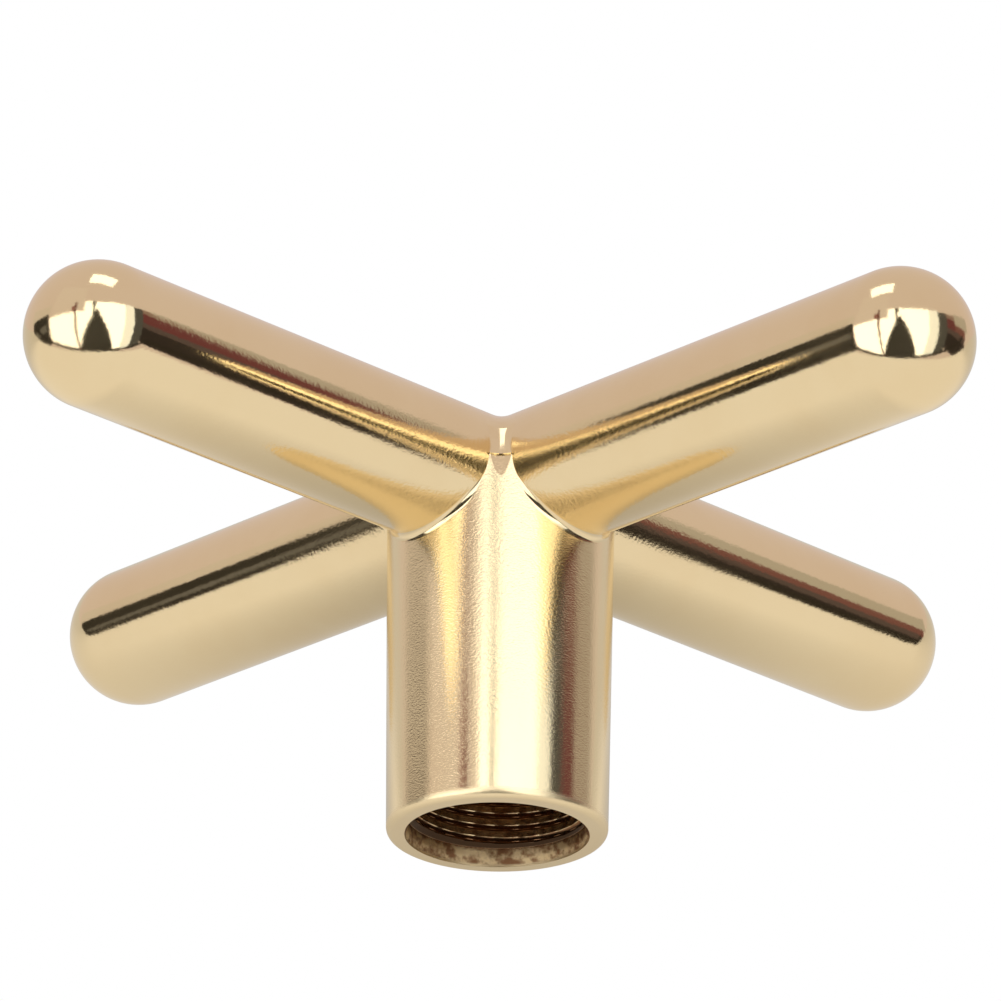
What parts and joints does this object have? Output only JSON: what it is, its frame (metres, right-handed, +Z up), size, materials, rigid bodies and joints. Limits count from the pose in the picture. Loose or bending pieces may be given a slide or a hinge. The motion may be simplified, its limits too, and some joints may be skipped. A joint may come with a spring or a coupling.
{
  "type": "cross rest head",
  "caption": "Cross-shaped rest head: two round-ended bars cross at right angles on a socket with a blind threaded hole.",
  "frame": {"origin": "under the crossing, level with the lowest line of the two bars", "axes": "+Z up along the socket's axis, out of its mouth; X and Y along the two bars"},
  "size_m": [0.11, 0.11, 0.039],
  "materials": {
    "polished_brass": "polished",
    "braze": "polished, slightly rippled"
  },
  "bodies": {
    "root": {"threaded_socket": "polished_brass", "lower_cross_bar": "polished_brass", "upper_cross_bar": "polished_brass", "corner_braze_northeast": "braze", "corner_braze_northwest": "braze", "corner_braze_southwest": "braze", "corner_braze_southeast": "braze", "saddle_braze_east": "braze", "saddle_braze_north": "braze", "saddle_braze_west": "braze", "saddle_braze_south": "braze"}
  },
  "joints": []
}
